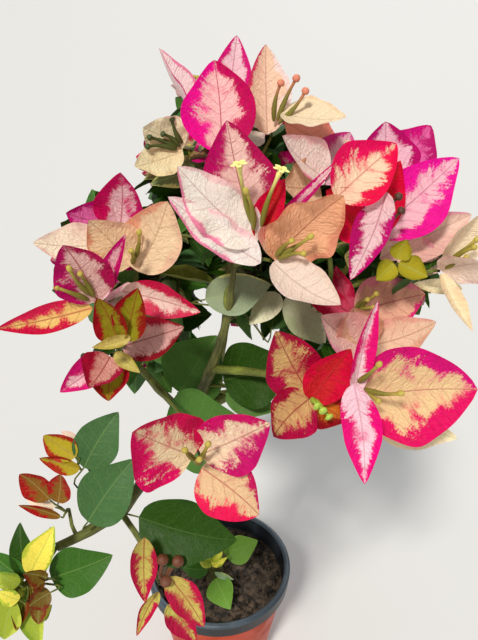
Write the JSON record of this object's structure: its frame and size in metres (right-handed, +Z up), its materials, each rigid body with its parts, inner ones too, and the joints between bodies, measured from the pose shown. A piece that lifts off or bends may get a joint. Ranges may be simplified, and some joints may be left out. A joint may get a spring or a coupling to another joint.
{
  "type": "potted bougainvillea bush",
  "caption": "Bushy flowering shrub with papery two-tone bracts and green leaves on arching stems, growing in a round pot that stands on its flat base",
  "frame": {"origin": "The middle of the pot's flat underside, which stands on the floor or shelf.", "axes": "+Z is up. -Y is the front, where most of the blooms look. +X is to the right of someone who faces the front."},
  "size_m": [0.2184, 0.2648, 0.489],
  "materials": {
    "pot": "terracotta-coloured moulded plastic, satin",
    "rim": "black moulded plastic, half gloss",
    "soil": "crumbly damp potting mix, matt",
    "bark": "young green-brown bark, matt",
    "bract": "papery bracts, cream to magenta, matt",
    "leaf": "green leaves, faint sheen"
  },
  "bodies": {
    "root": {"pot": "pot", "pot_rim": "rim", "soil": "soil", "trunk": "bark", "main_stem": "bark", "cane_base": "bark", "cane_tip": "bark", "left_bough": "bark", "back_bough": "bark", "bloom_top_left": "bract", "bloom_top_behind": "bract", "bloom_top_right": "bract", "bloom_behind_centre": "bract", "bloom_small_cream": "bract", "bloom_centre": "bract", "bloom_centre_right": "bract", "bloom_right_top": "bract", "bloom_right_behind": "bract", "bloom_far_right": "bract", "bloom_right_inner": "bract", "bloom_mid_right": "bract", "bloom_mid_right_low": "bract", "bloom_lower_right": "bract", "bloom_crimson": "bract", "bloom_front": "bract", "bloom_left_upper": "bract", "bloom_left_behind": "bract", "bloom_left_front": "bract", "bloom_left_young": "bract", "bloom_left_red": "bract", "bloom_left_low": "bract", "bloom_hanging": "bract", "shoot_red": "leaf", "shoot_red_upper": "leaf", "shoot_young_right": "leaf", "leaves_centre": "leaf", "leaf_by_stem": "leaf", "leaf_at_fork": "leaf", "leaves_right": "leaf", "leaves_cane": "leaf", "leaves_cane_tip": "leaf", "leaves_top": "leaf", "shoots_basal": "leaf", "inner_top": "leaf", "inner_upper": "leaf", "inner_centre": "leaf", "inner_right": "leaf", "inner_right_low": "leaf", "inner_left": "leaf", "inner_left_upper": "leaf", "inner_left_low": "leaf", "hanging_twig": "bark", "right_bough": "bark", "right_back_bough": "bark", "right_top_twig": "bark", "far_right_twig": "bark", "top_bough": "bark", "back_top_bough": "bark", "back_right_bough": "bark", "back_left_bough": "bark"}
  },
  "joints": []
}
